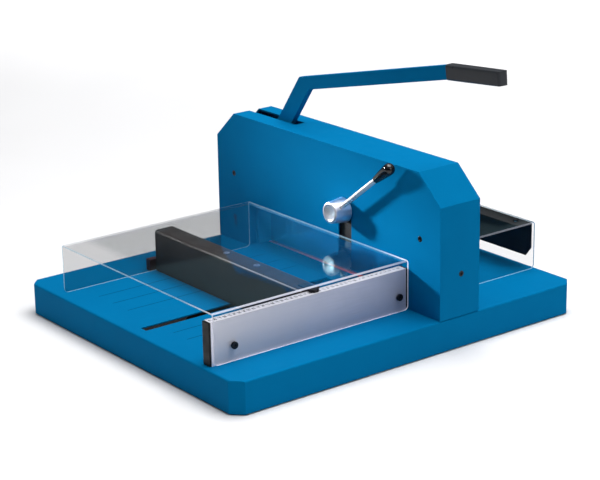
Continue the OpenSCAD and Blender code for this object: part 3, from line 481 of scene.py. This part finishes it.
def lathe(name, profile, matrix, surface, steps):
    """A turned piece from (radius, height) points in millimetres about Z, placed by matrix."""
    shape = bmesh.new()
    points = [shape.verts.new((r * MM, 0.0, h * MM)) for r, h in profile]
    edges = [shape.edges.new(pair) for pair in zip(points, points[1:])]
    bmesh.ops.spin(shape, geom=points + edges, cent=(0, 0, 0), axis=(0, 0, 1), angle=2 * math.pi, steps=steps,
                   use_merge=True, use_duplicate=False)
    bmesh.ops.remove_doubles(shape, verts=shape.verts, dist=0.001 * MM)
    bmesh.ops.recalc_face_normals(shape, faces=shape.faces)
    shape.transform(matrix)
    return new_piece(name, shape, surface)


def clamp_handle():
    """The clamp's hub and the ball end, turned more finely than the solids they stand for."""
    low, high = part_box("clamp_hub")
    joint = next(j for j in frame["joints"] if j["name"] == "clamp_hinge")
    axis_x, rod_y, axis_z = joint["pos_m"]
    radius = (high.z - low.z) / 2 / MM
    shaft_end = (high.y - low.y) / MM - 0.1
    hub_back = [(radius - 0.3, HUB_LENGTH - 3.0), (radius, HUB_LENGTH - 1.8), (radius - 0.4, HUB_LENGTH - 0.7),
                (radius - 1.3, HUB_LENGTH)]
    shaft = [(SHAFT_RADIUS, HUB_LENGTH), (SHAFT_RADIUS, shaft_end), (0, shaft_end)]
    outward = Matrix.Translation((axis_x, low.y, axis_z)) @ Matrix.Rotation(-math.pi / 2, 4, "X")
    hub = lathe("clamp_hub_turned", HUB_FACE + hub_back + shaft, outward, SURFACES["hub_chrome"], HUB_STEPS)
    adopt(hub, "clamp_hub")

    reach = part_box("clamp_grip")[1]
    angle = math.atan2(reach.z - axis_z - BALL_RADIUS, reach.x - axis_x - BALL_RADIUS)
    along = Matrix.Translation((axis_x, rod_y, axis_z)) @ Matrix.Rotation(math.pi / 2 - angle, 4, "Y")
    ball = lathe("clamp_ball_end", BALL_END, along, SURFACES["grip_black"], BALL_STEPS)
    adopt(ball, "clamp_grip")


def scale_numbers():
    """Plain centimetre numbers on the scale strip, as far as it goes."""
    low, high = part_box("scale_strip")
    zero = high.y - NUMBER_START
    last = int((zero - low.y - NUMBER_ROOM) / NUMBER_PITCH)
    shape = bmesh.new()
    for count in range(last + 1):
        curve = bpy.data.curves.new("number", "FONT")
        curve.body = str(count)
        curve.size = NUMBER_SIZE
        curve.offset = NUMBER_WEIGHT
        curve.align_x = "CENTER"
        curve.extrude = NUMBER_RELIEF
        holder = bpy.data.objects.new("number", curve)
        mesh = holder.to_mesh()
        foot = zero - count * NUMBER_PITCH - NUMBER_DROP
        mesh.transform(Matrix.Translation((low.x + NUMBER_INSET, foot, high.z + NUMBER_LIFT)))
        shape.from_mesh(mesh)
        holder.to_mesh_clear()
        bpy.data.objects.remove(holder)
        bpy.data.curves.remove(curve)
    numbers = new_piece("scale_numbers", shape, SURFACES["black_plastic"])
    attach(numbers, BODY_OF["scale_strip"])


def floor():
    """A pale floor just under the part."""
    plane = bmesh.new()
    bmesh.ops.create_grid(plane, x_segments=1, y_segments=1, size=FLOOR_HALF)
    plane.transform(Matrix.Translation((0, 0, -FLOOR_DROP)))
    pale = Surface("floor", (0.73, 0.73, 0.74), 0.6, [("Specular IOR Level", 0.1)])
    pale.mottle(0.6, (0.70, 0.70, 0.71), 0.3).dull(0.2, 0.55, 0.7)
    new_piece("floor", plane, pale)


def sky():
    """A soft sky that is dark near the horizon and dimmer in front. It is plain white where the camera sees it."""
    world = bpy.data.worlds.new("studio")
    world.use_nodes = True
    nodes, link = world.node_tree.nodes, world.node_tree.links.new
    direction = nodes.new("ShaderNodeSeparateXYZ")
    link(nodes.new("ShaderNodeTexCoord").outputs["Generated"], direction.inputs[0])
    glow = nodes.new("ShaderNodeValToRGB")
    link(direction.outputs["Z"], glow.inputs["Fac"])
    ramp = glow.color_ramp.elements
    while len(ramp) < len(SKY_GLOW):
        ramp.new(0.5)
    for stop, (position, strength) in zip(ramp, SKY_GLOW):
        stop.position = position
        stop.color = (strength, strength, strength, 1.0)
    dimming = nodes.new("ShaderNodeMapRange")
    link(direction.outputs["Y"], dimming.inputs["Value"])
    for socket, value in SKY_DIMMING.items():
        dimming.inputs[socket].default_value = value
    dimmed, seen = nodes.new("ShaderNodeMath"), nodes.new("ShaderNodeMath")
    dimmed.operation, seen.operation = "MULTIPLY", "MAXIMUM"
    link(glow.outputs[0], dimmed.inputs[0])
    link(dimming.outputs[0], dimmed.inputs[1])
    link(nodes.new("ShaderNodeLightPath").outputs["Is Camera Ray"], seen.inputs[0])
    link(dimmed.outputs[0], seen.inputs[1])
    nodes["Background"].inputs["Color"].default_value = (1, 1, 1, 1)
    link(seen.outputs[0], nodes["Background"].inputs["Strength"])
    bpy.context.scene.world = world


def lamps():
    """The lamps: one spot from the left of the photograph, and soft ones from above, the right and behind."""
    for name, kind, place, aim, size, power, beam in LAMPS:
        light = bpy.data.lights.new(name, kind)
        light.energy = power
        if kind == "AREA":
            light.size = size
            light.spread = math.radians(beam)
        else:
            light.shadow_soft_size = size
            light.spot_size = math.radians(beam)
            light.spot_blend = 1.0
        lamp = bpy.data.objects.new(name, light)
        lamp.location = place
        lamp.rotation_euler = (Vector(aim) - Vector(place)).to_track_quat("-Z", "Y").to_euler()
        bpy.context.scene.collection.objects.link(lamp)


def photo_camera():
    """The camera of the photograph."""
    level = math.cos(CAMERA_UP)
    away = Vector((math.sin(CAMERA_ROUND) * level, -math.cos(CAMERA_ROUND) * level, math.sin(CAMERA_UP)))
    lens = bpy.data.cameras.new("camera")
    lens.sensor_width = SENSOR_WIDTH
    lens.lens = FOCAL_PIXELS / PICTURE_PIXELS * SENSOR_WIDTH
    camera = bpy.data.objects.new("camera", lens)
    camera.location = CAMERA_TARGET + CAMERA_DISTANCE * away
    turn = (-away).to_track_quat("-Z", "Y") @ Quaternion((0, 0, 1), -CAMERA_ROLL)
    camera.rotation_euler = turn.to_euler()
    bpy.context.scene.collection.objects.link(camera)
    bpy.context.scene.camera = camera
    bpy.context.scene.view_settings.view_transform = "Standard"


floor()
sky()
lamps()
photo_camera()
clear_hood("front_guard")
clear_hood("cover_hood")
clamp_handle()
scale_numbers()
made = {"front_guard", "cover_hood", "clamp_hub", "clamp_grip"}
for node in sorted(set(NODES) - made):
    finish_node(node, SURFACES[OWN_LOOK.get(node, SLOT_OF[node])])
